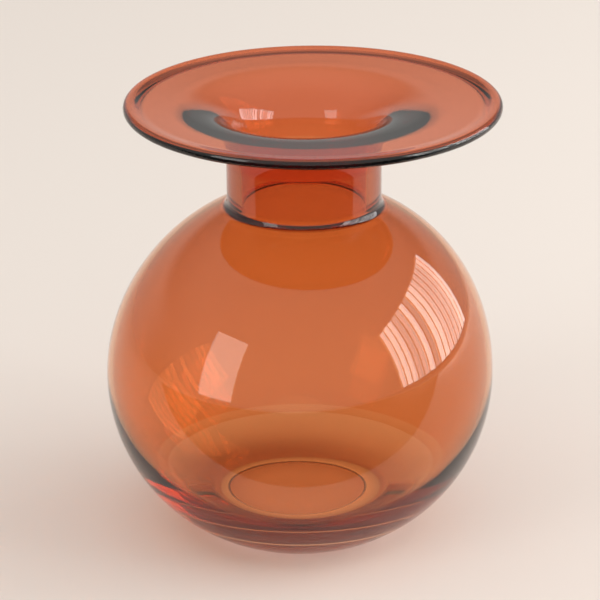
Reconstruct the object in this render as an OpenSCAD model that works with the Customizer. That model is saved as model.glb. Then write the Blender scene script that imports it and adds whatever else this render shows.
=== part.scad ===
// Glass bud vase: a round body on a thick base, a short wide neck and a broad
// flared rim with a rounded lip. Millimetres, Z up, the foot rests on Z = 0.

/* [Body] */
// outside diameter of the round body
globe_d = 110; // [96:1:140]
// glass thickness of the body from the shoulder to the widest point
wall_t = 1.5; // [1.2:0.1:2.4]
// glass thickness at the middle of the floor
base_t = 10; // [7:0.5:14]
// height of the seam between the heavy base and the thin body
base_h = 15; // [14.5:0.5:18]
// how much shorter the outside radius is below the widest point than above it
tuck_in = 4.4; // [2:0.2:7]
// lowest height the inside curve of the body would reach without the floor
heel_t = 4.3; // [3:0.1:6]
// radius of the inside corner between wall and floor
floor_r = 18; // [12:0.5:20]

/* [Foot] */
// outside diameter of the flat ring that the vase stands on
foot_d = 48; // [40:1:56]
// radius of the curve from the foot up into the body
heel_r = 6; // [4:0.5:8]
// width of the flat ring around the hollow under the foot
foot_w = 3.4; // [1.6:0.1:8]
// depth of the hollow under the foot
hollow_h = 1; // [0.6:0.1:2]

/* [Neck] */
// outside diameter of the neck
neck_d = 43.2; // [36:0.2:54]
// glass thickness of the neck
stem_t = 4.2; // [3:0.1:5]
// straight length of the neck between the weld and the flare
neck_h = 11.2; // [6:0.2:30]

/* [Weld] */
// radius of the outside fillet between neck and body
weld_r = 2.8; // [1.6:0.1:3.6]
// radius of the rounded inside edge where the bore opens into the body
bore_edge_r = 1; // [0.6:0.1:2]

/* [Rim] */
// outside diameter of the flared rim
rim_d = 104.5; // [86:0.5:130]
// radius of the curve from the bore to the dish, on the upper surface
flare_r = 13; // [10:0.5:15]
// radius of the curve from the neck to the dish, on the lower surface
under_flare_r = 14; // [11:0.5:15]
// glass thickness of the dish
dish_t = 1.8; // [1.5:0.1:2.4]
// slope of the dish, in degrees from level
dish_a = 2; // [0:0.5:6]
// thickness of the rounded lip
lip_d = 2.8; // [2.7:0.1:3.6]

/* [Display] */
// one sub-part by name, or all of them

/* [Hidden] */
$fn = 128;

// body outside: a sphere above the widest point, a tighter curve below it
// that meets the heel's curve, and the flat foot ring inside that
globe_r = globe_d / 2;
foot_r = foot_d / 2;
hollow_r = foot_r - foot_w;
under_r = globe_r - tuck_in;
under_x = tuck_in;
centre_z = heel_r + sqrt(pow(under_r - heel_r, 2) - pow(foot_r - under_x, 2));
heel_dir = [foot_r - under_x, heel_r - centre_z] / (under_r - heel_r);
inner_r = globe_r - wall_t;

// lower inside: a tighter curve that thickens the wall towards the base
belly_r = centre_z - heel_t;
belly_x = inner_r - belly_r;

// floor corner: a large curve between that wall and the flat floor
floor_z = base_t + floor_r;
floor_x = belly_x + sqrt(pow(belly_r - floor_r, 2) - pow(centre_z - floor_z, 2));
floor_dir = [floor_x - belly_x, floor_z - centre_z] / (belly_r - floor_r);

// neck
neck_r = neck_d / 2;
bore_r = neck_r - stem_t;

// weld: the fillet touches the neck at weld_z and the body at run_x
weld_x = neck_r + weld_r;
weld_z = centre_z + sqrt(pow(globe_r + weld_r, 2) - weld_x * weld_x);
run_x = weld_x * globe_r / (globe_r + weld_r);
run_z = centre_z + (weld_z - centre_z) * globe_r / (globe_r + weld_r);

// inside edge of the bore
edge_x = bore_r + bore_edge_r;
edge_z = centre_z + sqrt(pow(inner_r + bore_edge_r, 2) - edge_x * edge_x);
edge_dir = [-edge_x, centre_z - edge_z] / (inner_r + bore_edge_r);

// flare: one curve above and one below, both running into the flat faces
// of the dish, which lie half the glass thickness off its middle line
top_x = bore_r + flare_r;
low_x = neck_r + under_flare_r;
top_gap = (flare_r - dish_t / 2) / cos(dish_a) - tan(dish_a) * top_x;
low_gap = (under_flare_r + dish_t / 2) / cos(dish_a) - tan(dish_a) * low_x;
// the neck ends a little below the lower of the two curves
lead_h = 0.5;
flare_z = weld_z + neck_h;
axis_z = flare_z + lead_h + max(top_gap, low_gap);
top_z = axis_z - top_gap;
low_z = axis_z - low_gap;
up = [-sin(dish_a), cos(dish_a)];
slope = tan(dish_a);

// lip: a full round whose centre lies on the middle line of the dish
lip_r = lip_d / 2;
lip_x = rim_d / 2 - lip_r;
lip_z = axis_z + slope * lip_x;
// radius at which the dish ends and the lip begins
lip_cut_r = lip_x - 0.6 * lip_r;
// height from the middle line to either face of the dish
face_z = dish_t / 2 / cos(dish_a);

far = 3 * globe_r;

// half section of the space inside the body
module cavity_section() {
    intersection() {
        translate([0, centre_z]) circle(r = inner_r);
        translate([0, centre_z]) square([far, far]);
    }
    difference() {
        union() {
            intersection() {
                translate([belly_x, centre_z]) circle(r = belly_r);
                translate([belly_x, base_t]) square([far, centre_z - base_t]);
            }
            translate([0, base_t]) square([belly_x, centre_z - base_t]);
        }
        difference() {
            polygon([
                [floor_x, floor_z],
                [floor_x, floor_z - 1.5 * floor_r],
                [floor_x + 1.5 * floor_r * floor_dir[0], floor_z - 1.5 * floor_r],
                [floor_x, floor_z] + 1.5 * floor_r * floor_dir
            ]);
            translate([floor_x, floor_z]) circle(r = floor_r);
        }
    }
}

// half section of the body's outside below the widest point
module lower_section() {
    difference() {
        union() {
            intersection() {
                translate([under_x, centre_z]) circle(r = under_r);
                translate([under_x, 0]) square([far, centre_z]);
            }
            square([under_x, centre_z]);
        }
        difference() {
            polygon([
                [foot_r, heel_r],
                [foot_r, -heel_r],
                [foot_r + 2 * heel_r * heel_dir[0], -heel_r],
                [foot_r, heel_r] + 2 * heel_r * heel_dir
            ]);
            translate([foot_r, heel_r]) circle(r = heel_r);
        }
    }
}

// half section of the body's outside above the widest point
module upper_section() {
    intersection() {
        translate([0, centre_z]) circle(r = globe_r);
        translate([0, centre_z]) square([far, far]);
    }
}

// heavy base: solid floor, thick heel and the hollow under the foot
module base() {
    color([0.80, 0.34, 0.16])
    rotate_extrude()
    difference() {
        intersection() {
            lower_section();
            square([far, base_h]);
        }
        cavity_section();
        translate([0, -1]) square([hollow_r, hollow_h + 1]);
    }
}

// thin body from the seam over the base to the opening under the neck
module globe() {
    color([0.84, 0.42, 0.22])
    rotate_extrude()
    difference() {
        union() {
            intersection() {
                lower_section();
                translate([0, base_h]) square([far, far]);
            }
            upper_section();
        }
        cavity_section();
        translate([0, centre_z]) square([run_x, far]);
    }
}

// ring of fused glass that joins neck and body
module weld_ring() {
    color([0.70, 0.26, 0.12])
    rotate_extrude()
    difference() {
        polygon([
            [bore_r, centre_z],
            [bore_r, weld_z],
            [neck_r, weld_z],
            [run_x, run_z],
            [run_x, centre_z]
        ]);
        translate([weld_x, weld_z]) circle(r = weld_r);
        cavity_section();
        difference() {
            polygon([
                [edge_x, edge_z],
                [edge_x - 2 * bore_edge_r, edge_z],
                [edge_x - 2 * bore_edge_r, edge_z + 2 * bore_edge_r * edge_dir[1]],
                [edge_x, edge_z] + 2 * bore_edge_r * edge_dir
            ]);
            translate([edge_x, edge_z]) circle(r = bore_edge_r);
        }
    }
}

// straight tube between the weld ring and the flare
module neck() {
    color([0.76, 0.30, 0.14])
    rotate_extrude()
    polygon([
        [bore_r, weld_z],
        [neck_r, weld_z],
        [neck_r, flare_z],
        [bore_r, flare_z]
    ]);
}

// flare out of the neck and the broad sloping dish
module rim_dish() {
    color([0.84, 0.40, 0.22])
    rotate_extrude()
    difference() {
        polygon([
            [bore_r, flare_z],
            [bore_r, axis_z + face_z + slope * bore_r],
            [lip_cut_r, axis_z + face_z + slope * lip_cut_r],
            [lip_cut_r, axis_z - face_z + slope * lip_cut_r],
            [low_x, low_z] + under_flare_r * up,
            [low_x, low_z],
            [neck_r, low_z],
            [neck_r, flare_z]
        ]);
        translate([low_x, low_z]) circle(r = under_flare_r);
        difference() {
            polygon([
                [top_x, top_z],
                [top_x - 2 * flare_r, top_z],
                [top_x - 2 * flare_r, top_z + 2 * flare_r * up[1]],
                [top_x, top_z] + 2 * flare_r * up
            ]);
            translate([top_x, top_z]) circle(r = flare_r);
        }
    }
}

// rounded lip around the dish
module lip() {
    color([0.66, 0.24, 0.12])
    rotate_extrude()
    difference() {
        translate([lip_x, lip_z]) circle(r = lip_r);
        translate([0, lip_z - lip_d]) square([lip_cut_r, 2 * lip_d]);
    }
}

base();
globe();
weld_ring();
neck();
rim_dish();
lip();
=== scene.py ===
import math

import bpy
import numpy as np
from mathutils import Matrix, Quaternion, Vector


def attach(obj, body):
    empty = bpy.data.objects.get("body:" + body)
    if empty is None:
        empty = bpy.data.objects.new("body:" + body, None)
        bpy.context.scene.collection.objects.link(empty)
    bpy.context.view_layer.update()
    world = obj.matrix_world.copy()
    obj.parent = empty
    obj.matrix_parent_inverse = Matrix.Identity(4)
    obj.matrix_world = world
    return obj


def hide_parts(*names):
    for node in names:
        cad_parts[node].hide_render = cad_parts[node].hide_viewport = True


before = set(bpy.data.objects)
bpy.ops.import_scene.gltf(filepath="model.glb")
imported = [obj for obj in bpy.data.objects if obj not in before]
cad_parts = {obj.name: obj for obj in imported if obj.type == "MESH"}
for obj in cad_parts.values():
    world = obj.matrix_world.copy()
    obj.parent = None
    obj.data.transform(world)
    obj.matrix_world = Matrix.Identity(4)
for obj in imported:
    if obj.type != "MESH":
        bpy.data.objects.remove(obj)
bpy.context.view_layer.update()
scene = bpy.context.scene

MM = 0.001

# ---------------------------------------------------------------- sizes, mm
GLOBE_R = 55.0
WALL = 1.5
BASE_T = 10.0
BASE_H = 15.0
TUCK_IN = 4.4
HEEL_T = 4.3
FLOOR_R = 18.0
FOOT_R = 24.0
HEEL_R = 6.0
HOLLOW_R = 20.6
HOLLOW_H = 1.0
NECK_R = 21.6
STEM_T = 4.2
NECK_H = 11.2
LEAD_H = 0.5
WELD_R = 2.8
BORE_EDGE_R = 1.0
RIM_R = 52.25
LIP_R = 1.4
DISH_T = 1.8
DISH_A = math.radians(2.0)
TOP_R = 13.0
LOW_R = 14.0

# Softened edges of the hollow under the foot.
HOLLOW_EDGE = 0.75
FOOT_EDGE = 0.2

# Over this width the dish thickens into the lip.
BLEND = 5.0

# The flare's curvature fades from this many degrees of turn, and its radius grows to WIDE_R.
FADE_FROM = 60
WIDE_R = 34.0

# The hand-blown vase is a little uneven: how far its parts sit to one side.
NECK_LEAN = 1.45
RIM_LEAN = 4.0
HOLLOW_LEAN = -1.0

# Steps round the axis, and the space left between two pieces where they meet.
ROUND = 256
GAP = 0.003

# Edges of the section that meet more sharply than this are not smoothed together.
SMOOTH_COS = 0.85


# ---------------------------------------------------------------- curves
def arc(cx, cz, r, start, end, steps):
    return [
        (cx + r * math.cos(math.radians(t)), cz + r * math.sin(math.radians(t)))
        for t in np.linspace(start, end, steps)
    ]


def line(a, b, steps):
    return [
        (a[0] + (b[0] - a[0]) * t, a[1] + (b[1] - a[1]) * t)
        for t in np.linspace(0, 1, steps)
    ]


def direction(cx, cz, x, z):
    return math.degrees(math.atan2(z - cz, x - cx))


def ease(t):
    return t * t * t * (t * (6 * t - 15) + 10)


def flare(x, z, radius):
    """A bend from the upright neck onto the same sloping line that an arc of this radius would meet.
    Its curvature fades where it runs into the dish."""
    steps, fine = 48, 8
    end = 90 - math.degrees(DISH_A)
    turn = np.radians(np.linspace(0, end, steps * fine + 1))
    mid = (turn[1:] + turn[:-1]) / 2
    fade = np.clip((np.degrees(mid) - FADE_FROM) / (end - FADE_FROM), 0, 1)
    step = np.radians(end) / (steps * fine)
    rise = (np.cos(mid) - math.tan(DISH_A) * np.sin(mid)) * step
    tight = (radius * rise.sum() - WIDE_R * (rise * fade).sum()) / (rise * (1 - fade)).sum()
    bend = tight + (WIDE_R - tight) * fade
    xs = x + np.concatenate([[0], np.cumsum(bend * np.sin(mid) * step)])
    zs = z + np.concatenate([[0], np.cumsum(bend * np.cos(mid) * step)])
    return [(float(a), float(b)) for a, b in zip(xs[::fine], zs[::fine])]


# ---------------------------------------------------------------- half section: base and globe
# The outside is a sphere above the widest point and a slightly tighter curve below it.
under_r = GLOBE_R - TUCK_IN
under_x = TUCK_IN
centre_z = HEEL_R + math.sqrt((under_r - HEEL_R) ** 2 - (FOOT_R - under_x) ** 2)
inner_r = GLOBE_R - WALL
belly_r = centre_z - HEEL_T
belly_x = inner_r - belly_r
floor_z = BASE_T + FLOOR_R
floor_x = belly_x + math.sqrt((belly_r - FLOOR_R) ** 2 - (centre_z - floor_z) ** 2)

weld_x = NECK_R + WELD_R
weld_z = centre_z + math.sqrt((GLOBE_R + WELD_R) ** 2 - weld_x**2)
bore_r = NECK_R - STEM_T
edge_x = bore_r + BORE_EDGE_R
edge_z = centre_z + math.sqrt((inner_r + BORE_EDGE_R) ** 2 - edge_x**2)

heel_end = direction(under_x, centre_z, FOOT_R, HEEL_R)
seam_low = -math.degrees(math.asin((centre_z - BASE_H) / under_r))
hollow_flat = HOLLOW_R - HOLLOW_EDGE
foot_in = HOLLOW_R + FOOT_EDGE
base_out = line((0, HOLLOW_H), (hollow_flat, HOLLOW_H), 20)
base_out += arc(hollow_flat, HOLLOW_H - HOLLOW_EDGE, HOLLOW_EDGE, 90, 0, 8)[1:]
base_out += arc(foot_in, FOOT_EDGE, FOOT_EDGE, 180, 270, 4)[1:]
base_out += line((foot_in, 0), (FOOT_R, 0), 5)[1:]
base_out += arc(FOOT_R, HEEL_R, HEEL_R, -90, heel_end, 10)[1:]
base_out += arc(under_x, centre_z, under_r, heel_end, seam_low, 24)[1:]

weld_start = direction(0, centre_z, weld_x, weld_z)
globe_out = arc(under_x, centre_z, under_r, seam_low, 0, 50)
globe_out += arc(0, centre_z, GLOBE_R, 0, weld_start, 70)[1:]

# The inside runs from the weld down to the floor, and is cut where globe and base meet.
shoulder_steps = 70
run_x = weld_x * GLOBE_R / (GLOBE_R + WELD_R)
seam_high = math.degrees(math.acos(run_x / inner_r))
floor_end = direction(belly_x, centre_z, floor_x, floor_z)
cavity = arc(0, centre_z, inner_r, seam_high, 0, shoulder_steps)
cavity += arc(belly_x, centre_z, belly_r, 0, floor_end, 60)[1:]
cavity += arc(floor_x, floor_z, FLOOR_R, floor_end, -90, 30)[1:]
cavity += line((floor_x, BASE_T), (0, BASE_T), 20)[1:]
cut = next(i for i in range(shoulder_steps, len(cavity)) if cavity[i][1] < BASE_H)
(x0, z0), (x1, z1) = cavity[cut - 1], cavity[cut]
seam_in = (x0 + (x1 - x0) * (z0 - BASE_H) / (z0 - z1), BASE_H)
globe_in = cavity[:cut] + [seam_in]
base_in = [seam_in] + cavity[cut:]

# ---------------------------------------------------------------- half section: weld ring and neck
flare_z = weld_z + NECK_H
edge_end = direction(0, centre_z, edge_x, edge_z)
weld_out = arc(weld_x, weld_z, WELD_R, weld_start + 180, 180, 14)
weld_in = line((bore_r, weld_z), (bore_r, edge_z), 3)
weld_in += arc(edge_x, edge_z, BORE_EDGE_R, 180, edge_end + 180, 14)[1:]
weld_in += arc(0, centre_z, inner_r, edge_end, seam_high, 4)[1:]
neck_out = line((NECK_R, weld_z), (NECK_R, flare_z), 12)
neck_in = line((bore_r, flare_z), (bore_r, weld_z), 12)

# ---------------------------------------------------------------- half section: dish and lip
sin_a, cos_a, tan_a = math.sin(DISH_A), math.cos(DISH_A), math.tan(DISH_A)
dish_deg = math.degrees(DISH_A)
half_t = DISH_T / 2
top_gap = (TOP_R - half_t) / cos_a - tan_a * (bore_r + TOP_R)
low_gap = (LOW_R + half_t) / cos_a - tan_a * (NECK_R + LOW_R)
axis_z = flare_z + LEAD_H + max(top_gap, low_gap)
top_z = axis_z - top_gap
low_z = axis_z - low_gap
lip_x = RIM_R - LIP_R
lip_z = axis_z + tan_a * lip_x
lip_cut = lip_x - 0.6 * LIP_R


def dish_half(x):
    """Half the glass thickness of the dish, which grows to the lip's radius."""
    w = ease(min(1, max(0, 1 - (lip_x - x) / BLEND)))
    return half_t * (1 - w) + LIP_R * w


def dish_side(xs, side):
    """One face of the dish: side 1 is the upper face and side -1 the lower one."""
    return [
        (x - side * dish_half(x) * sin_a, lip_z - tan_a * (lip_x - x) + side * dish_half(x) * cos_a)
        for x in xs
    ]


low_bend = flare(NECK_R, low_z, LOW_R)
top_bend = flare(bore_r, top_z, TOP_R)
low_xs = np.linspace(low_bend[-1][0] - half_t * sin_a, lip_x, 60)
top_xs = np.linspace(top_bend[-1][0] + half_t * sin_a, lip_x, 60)
low_side = dish_side(low_xs, -1)
top_side = dish_side(top_xs, 1)
low_cut = max(i for i, x in enumerate(low_xs) if x <= lip_cut)
top_cut = max(i for i, x in enumerate(top_xs) if x <= lip_cut)
dish_out = line((NECK_R, flare_z), (NECK_R, low_z), 5)[:-1] + low_bend + low_side[1 : low_cut + 1]
dish_in = top_side[: top_cut + 1][::-1] + top_bend[::-1][1:]
dish_in += line((bore_r, top_z), (bore_r, flare_z), 5)[1:]
lip_loop = low_side[low_cut:] + arc(lip_x, lip_z, LIP_R, dish_deg - 90, dish_deg + 90, 24)[1:-1]
lip_loop += top_side[top_cut:][::-1]


# ---------------------------------------------------------------- lathed pieces
def trim(points, first, last):
    """Draws the marked ends of an open line back by the gap, along the line."""
    points = [p for i, p in enumerate(points) if i == 0 or math.dist(p, points[i - 1]) > 1e-6]
    for mark, a, b in ((first, 0, 1), (last, -1, -2)):
        if mark:
            (x0, z0), (x1, z1) = points[a], points[b]
            t = GAP / math.dist(points[a], points[b])
            points[a] = (x0 + (x1 - x0) * t, z0 + (z1 - z0) * t)
    return points


def smooth(t):
    return t * t * (3 - 2 * t)


def lean(r, z):
    """How far the glass at this radius and height sits to one side of the globe's axis."""
    up = np.clip((z - centre_z) / (weld_z - centre_z), 0, 1)
    out = np.where(z > flare_z, np.clip((r - NECK_R) / (lip_x - NECK_R), 0, 1), 0)
    under = np.where(z < 1.5 * HOLLOW_H, np.clip((FOOT_R - r) / (FOOT_R - HOLLOW_R), 0, 1), 0)
    return NECK_LEAN * smooth(up) + (RIM_LEAN - NECK_LEAN) * smooth(out) + HOLLOW_LEAN * smooth(under)


def lean_over(verts, faces, normals):
    """Moves the points sideways by the lean, and turns the normals at the faces' corners to match."""
    step = 0.05
    radius, z = np.hypot(verts[:, 0], verts[:, 1]), verts[:, 2]
    corner = np.array([i for face in faces for i in face])
    around = verts[corner, :2] / np.maximum(radius[corner], 1e-6)[:, None]
    r, h = radius[corner], z[corner]
    by_r = (lean(r + step, h) - lean(r - step, h)) / (2 * step)
    by_z = (lean(r, h + step) - lean(r, h - step)) / (2 * step)
    tilt = normals[:, 0] / (1 + by_r * around[:, 0])
    turned = normals - np.stack([by_r * around[:, 0], by_r * around[:, 1], by_z], 1) * tilt[:, None]
    turned /= np.linalg.norm(turned, axis=1)[:, None]
    moved = verts.copy()
    moved[:, 0] += lean(radius, z)
    return moved, turned


def follow(runs, closed_on_axis):
    """Joins lines that follow one another into one section. The straight step between two is a seam."""
    points, seams = [], []
    for run in runs:
        points += run
        seams += [0] * (len(run) - 1) + [1]
    if closed_on_axis:
        seams = seams[:-1]
    edges = [(i, (i + 1) % len(points)) for i in range(len(seams))]
    return points, edges, seams


def edge_directions(points, edges, seams, closed_on_axis):
    """Direction of the section at the start and at the end of each edge, shared where it is smooth."""
    vec = np.array([(points[b][0] - points[a][0], points[b][1] - points[a][1]) for a, b in edges])
    size = np.hypot(vec[:, 0], vec[:, 1])
    unit = vec / size[:, None]

    def shared(i, j):
        if seams[i] or seams[j] or unit[i] @ unit[j] < SMOOTH_COS:
            return None
        t = unit[i] * size[j] + unit[j] * size[i]
        return t / np.hypot(*t)

    starts, ends = [], []
    count = len(edges)
    for n in range(count):
        level = np.array([math.copysign(1, unit[n][0]), 0])
        first = level if closed_on_axis and n == 0 else shared(n - 1, n)
        last = level if closed_on_axis and n == count - 1 else shared(n, (n + 1) % count)
        starts.append(unit[n] if first is None or seams[n] else first)
        ends.append(unit[n] if last is None or seams[n] else last)
    return starts, ends


def lathe(name, runs, closed_on_axis=False):
    """Turns open lines that follow one another round the section into one closed solid."""
    points, edges, seams = follow(runs, closed_on_axis)
    starts, ends = edge_directions(points, edges, seams, closed_on_axis)
    turn = 2 * np.pi * np.arange(ROUND) / ROUND
    co, si = np.cos(turn), np.sin(turn)
    verts, rings = [], []
    for x, z in points:
        if x < 1e-6:
            rings.append([len(verts)])
            verts.append((0.0, 0.0, z))
        else:
            rings.append(range(len(verts), len(verts) + ROUND))
            verts += [(x * c, x * s, z) for c, s in zip(co, si)]
    faces, marks, normals = [], [], []

    def normal(t, i):
        return (t[1] * co[i], t[1] * si[i], -t[0])

    for (a, b), seam_mark, t0, t1 in zip(edges, seams, starts, ends):
        ra, rb = rings[a], rings[b]
        for i in range(ROUND):
            j = (i + 1) % ROUND
            if len(ra) == 1:
                faces.append((ra[0], rb[j], rb[i]))
                normals += [normal(t0, i), normal(t1, j), normal(t1, i)]
            elif len(rb) == 1:
                faces.append((ra[i], ra[j], rb[0]))
                normals += [normal(t0, i), normal(t0, j), normal(t1, i)]
            else:
                faces.append((ra[i], ra[j], rb[j], rb[i]))
                normals += [normal(t0, i), normal(t0, j), normal(t1, j), normal(t1, i)]
            marks.append(seam_mark)

    verts, normals = lean_over(np.array(verts), faces, np.array(normals))
    mesh = bpy.data.meshes.new(name)
    mesh.from_pydata((verts * MM).tolist(), [], faces)
    mesh.polygons.foreach_set("use_smooth", [True] * len(faces))
    mark = mesh.attributes.new("seam", "FLOAT", "FACE")
    mark.data.foreach_set("value", [float(m) for m in marks])
    mesh.normals_split_custom_set(normals.tolist())
    mesh.update()
    obj = bpy.data.objects.new(name, mesh)
    scene.collection.objects.link(obj)
    return obj


# ---------------------------------------------------------------- materials
GLASS_IOR = 1.5

# The two colour sockets of a Mix node.
MIX_A, MIX_B = 6, 7


def shader(name):
    mat = bpy.data.materials.new(name)
    mat.use_nodes = True
    return mat, mat.node_tree, mat.node_tree.nodes["Principled BSDF"]


def remap(tree, value, old, new, interpolation="LINEAR"):
    """The value moved from the old span to the new one, and held at its ends."""
    node = tree.nodes.new("ShaderNodeMapRange")
    node.interpolation_type = interpolation
    for socket, number in zip(("From Min", "From Max", "To Min", "To Max"), (*old, *new)):
        node.inputs[socket].default_value = number
    tree.links.new(value, node.inputs["Value"])
    return node.outputs["Result"]


def by_height(tree, levels):
    """Colour that changes smoothly with height, from a list of (height in mm, colour)."""
    place = tree.nodes.new("ShaderNodeTexCoord")
    split = tree.nodes.new("ShaderNodeSeparateXYZ")
    ramp = tree.nodes.new("ShaderNodeValToRGB")
    low, high = levels[0][0], levels[-1][0]
    marks = ramp.color_ramp.elements
    while len(marks) < len(levels):
        marks.new(0.5)
    for mark, (height, colour) in zip(marks, levels):
        mark.position = (height - low) / (high - low)
    for mark, (height, colour) in zip(marks, levels):
        mark.color = (*colour, 1)
    tree.links.new(place.outputs["Object"], split.inputs[0])
    height = remap(tree, split.outputs["Z"], (low * MM, high * MM), (0, 1))
    tree.links.new(height, ramp.inputs["Fac"])
    return ramp.outputs["Color"]


def glass(name, levels):
    """Clear glass with its colour in the skin."""
    mat, tree, bsdf = shader(name)
    bsdf.inputs["Base Color"].default_value = (*levels[0][1], 1)
    bsdf.inputs["Transmission Weight"].default_value = 1.0
    bsdf.inputs["Roughness"].default_value = 0.0
    bsdf.inputs["IOR"].default_value = GLASS_IOR
    tree.links.new(by_height(tree, levels), bsdf.inputs["Base Color"])
    return mat


def deep_glass(name, levels, per_mm):
    """Glass with colour in the skin and through its thickness. Its seam faces do not bend light."""
    mat = glass(name, levels)
    tree = mat.node_tree
    bsdf = tree.nodes["Principled BSDF"]
    mark = tree.nodes.new("ShaderNodeAttribute")
    mark.attribute_name = "seam"
    tree.links.new(remap(tree, mark.outputs["Fac"], (0, 1), (GLASS_IOR, 1)), bsdf.inputs["IOR"])
    skin = tree.nodes.new("ShaderNodeMix")
    skin.data_type = "RGBA"
    skin.inputs[MIX_B].default_value = (1, 1, 1, 1)
    tree.links.new(mark.outputs["Fac"], skin.inputs["Factor"])
    tree.links.new(bsdf.inputs["Base Color"].links[0].from_socket, skin.inputs[MIX_A])
    tree.links.new(skin.outputs[2], bsdf.inputs["Base Color"])
    top = max(per_mm) * 1.02
    body = tree.nodes.new("ShaderNodeVolumeAbsorption")
    body.inputs["Color"].default_value = (*[1 - k / top for k in per_mm], 1)
    body.inputs["Density"].default_value = top / MM
    tree.links.new(body.outputs["Volume"], tree.nodes["Material Output"].inputs["Volume"])
    return mat


def even(colour):
    """The same skin colour from the foot to the lip."""
    return [(0, colour), (127, colour)]


# One wall's skin colour at each height in mm, and what a millimetre of the glass takes away.
RIM_SKIN = even((0.90, 0.26, 0.10))
RIM_DEPTH = (0.06, 0.12, 0.16)
GLASS = {
    "base": (even((1.0, 0.84, 0.68)), (0.016, 0.042, 0.068)),
    "globe": (
        [(15, (0.90, 0.50, 0.24)), (46, (0.82, 0.41, 0.20)), (96, (0.76, 0.35, 0.155))],
        (0.002, 0.014, 0.024),
    ),
    "weld_ring": (even((0.88, 0.44, 0.22)), (0.02, 0.07, 0.12)),
    "neck": (even((0.93, 0.40, 0.18)), RIM_DEPTH),
    "rim_dish": (RIM_SKIN, RIM_DEPTH),
    "lip": (RIM_SKIN, RIM_DEPTH),
}
shapes = {
    "base": lathe("base_glass", [trim(base_out, 0, 1), trim(base_in, 1, 0)], True),
    "globe": lathe("globe_glass", [trim(globe_out, 1, 1), trim(globe_in, 1, 1)]),
    "weld_ring": lathe("weld_ring_glass", [trim(weld_out, 1, 1), trim(weld_in, 1, 1)]),
    "neck": lathe("neck_glass", [trim(neck_out, 1, 1), trim(neck_in, 1, 1)]),
    "rim_dish": lathe("rim_dish_glass", [trim(dish_out, 1, 1), trim(dish_in, 1, 1)]),
    "lip": lathe("lip_glass", [trim(lip_loop, 1, 1)]),
}
for node, obj in shapes.items():
    obj.data.materials.append(deep_glass(node + "_tint", *GLASS[node]))
    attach(obj, "root")
    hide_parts(node)


# ---------------------------------------------------------------- floor
def sheet(name, x, y, z):
    """A level rectangle, in metres, over the spans x and y."""
    mesh = bpy.data.meshes.new(name)
    corners = [(x[0], y[0], z), (x[1], y[0], z), (x[1], y[1], z), (x[0], y[1], z)]
    mesh.from_pydata(corners, [], [(0, 1, 2, 3)])
    obj = bpy.data.objects.new(name, mesh)
    scene.collection.objects.link(obj)
    return obj


floor = sheet("floor", (-3, 3), (-3, 3), 0)
floor_mat, floor_tree, floor_bsdf = shader("floor_paper")
floor_bsdf.inputs["Base Color"].default_value = (0.80, 0.735, 0.685, 1)
floor_bsdf.inputs["Roughness"].default_value = 0.9
floor_bsdf.inputs["Specular IOR Level"].default_value = 0.2
# Painted light: the paper under the foot glows, in place of the light that the vase gathers there.
place = floor_tree.nodes.new("ShaderNodeTexCoord")
reach = floor_tree.nodes.new("ShaderNodeVectorMath")
reach.operation = "LENGTH"
floor_tree.links.new(place.outputs["Object"], reach.inputs[0])
painted_caustic_glow = remap(floor_tree, reach.outputs["Value"], (0.012, 0.034), (0.5, 0), "SMOOTHSTEP")
floor_tree.links.new(painted_caustic_glow, floor_bsdf.inputs["Emission Strength"])
floor_bsdf.inputs["Emission Color"].default_value = (1, 1, 1, 1)
floor.data.materials.append(floor_mat)

# Painted reflection: a dark sheet before the vase, seen only in the glass's reflections, where it
# darkens them as shade would.
flag = sheet("flag", (-1.2, 1.2), (-1.6, -0.08), 0.001)
flag_mat, flag_tree, flag_bsdf = shader("painted_reflection_shade")
flag_bsdf.inputs["Base Color"].default_value = (0.06, 0.05, 0.045, 1)
flag_bsdf.inputs["Roughness"].default_value = 0.9
flag.data.materials.append(flag_mat)
flag.visible_camera = False
flag.visible_diffuse = False
flag.visible_shadow = False
flag.visible_transmission = False

# ---------------------------------------------------------------- light
# The room is brightest above and before the vase, with a pale wall low behind it.
BRIGHT_WAY = (0, -0.6, 0.8)
world = bpy.data.worlds.new("studio")
scene.world = world
world.use_nodes = True
tree = world.node_tree
background = tree.nodes["Background"]
background.inputs["Color"].default_value = (1, 0.97, 0.93, 1)
coord = tree.nodes.new("ShaderNodeTexCoord")
dot = tree.nodes.new("ShaderNodeVectorMath")
dot.operation = "DOT_PRODUCT"
dot.inputs[1].default_value = BRIGHT_WAY
split = tree.nodes.new("ShaderNodeSeparateXYZ")
tree.links.new(coord.outputs["Generated"], dot.inputs[0])
tree.links.new(coord.outputs["Generated"], split.inputs[0])
room = remap(tree, dot.outputs["Value"], (-0.5, 0.7), (0.15, 1.05), "SMOOTHSTEP")
low = remap(tree, split.outputs["Z"], (0.25, 0.42), (0.5, 0), "SMOOTHSTEP")
behind = remap(tree, split.outputs["Y"], (0, 0.6), (0, 1), "SMOOTHSTEP")
wall = tree.nodes.new("ShaderNodeMath")
wall.operation = "MULTIPLY"
total = tree.nodes.new("ShaderNodeMath")
tree.links.new(low, wall.inputs[0])
tree.links.new(behind, wall.inputs[1])
tree.links.new(wall.outputs[0], total.inputs[0])
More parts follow.
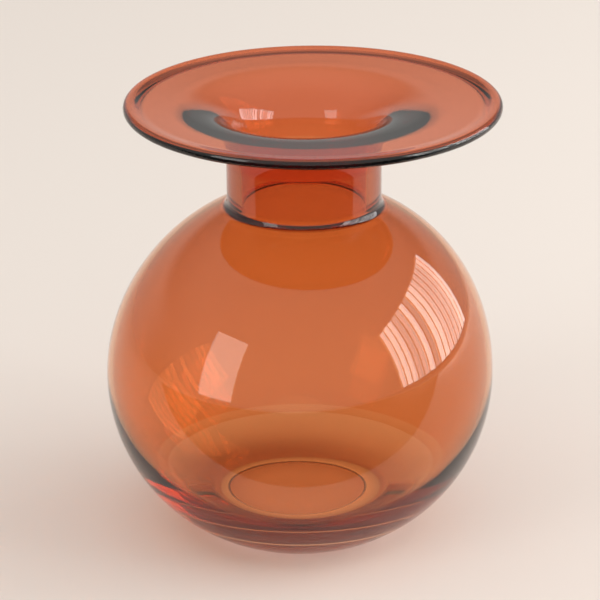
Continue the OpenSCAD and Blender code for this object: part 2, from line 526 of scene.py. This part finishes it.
tree.links.new(room, total.inputs[1])
tree.links.new(total.outputs[0], background.inputs["Strength"])


def panel(name, place, target, width, height, power):
    data = bpy.data.lights.new(name, "AREA")
    data.shape = "RECTANGLE"
    data.size, data.size_y, data.energy = width, height, power
    obj = bpy.data.objects.new(name, data)
    scene.collection.objects.link(obj)
    obj.location = place
    obj.rotation_mode = "QUATERNION"
    obj.rotation_quaternion = (Vector(target) - Vector(place)).to_track_quat("-Z", "Y")
    obj.visible_camera = False


# A wide window behind a pleated curtain on one side, and a small window on the other.
STRIPS = 15
WINDOW_W = 1.5
WINDOW_H = 0.75
WINDOW_POWER = 15
PLEAT = 0.8
AIM_Z = 0.06
rng = np.random.default_rng(7)
weights = 0.35 + rng.random(STRIPS)
weights /= weights.sum()
for n in range(STRIPS):
    y = 0.05 + WINDOW_W * ((n + 0.5) / STRIPS - 0.5)
    power = WINDOW_POWER * weights[n]
    panel(f"window_{n}", (1.1, y, 0.42), (0, y, AIM_Z), WINDOW_W / STRIPS * PLEAT, WINDOW_H, power)
panel("side", (-0.97, -0.81, 0.46), (0, 0, AIM_Z), 0.5, 0.8, 4)

# ---------------------------------------------------------------- camera
TILT = math.radians(22.4)
ROLL = -0.0058
DISTANCE = 0.8
camera_data = bpy.data.cameras.new("camera")
camera = bpy.data.objects.new("camera", camera_data)
scene.collection.objects.link(camera)
back = Vector((0, -math.cos(TILT), math.sin(TILT)))
camera.location = Vector((0, 0, AIM_Z)) + DISTANCE * back
camera.rotation_mode = "QUATERNION"
camera.rotation_quaternion = (-back).to_track_quat("-Z", "Y") @ Quaternion((0, 0, 1), ROLL)
camera_data.sensor_width = 36
camera_data.lens = 168.96
camera_data.shift_x = 0.00067
camera_data.shift_y = 0.04083
camera_data.clip_start = 0.01
scene.camera = camera

scene.view_settings.view_transform = "Standard"
scene.view_settings.exposure = -0.18
scene.cycles.max_bounces = 40
scene.cycles.transmission_bounces = 40
scene.cycles.glossy_bounces = 12
scene.cycles.blur_glossy = 0.3
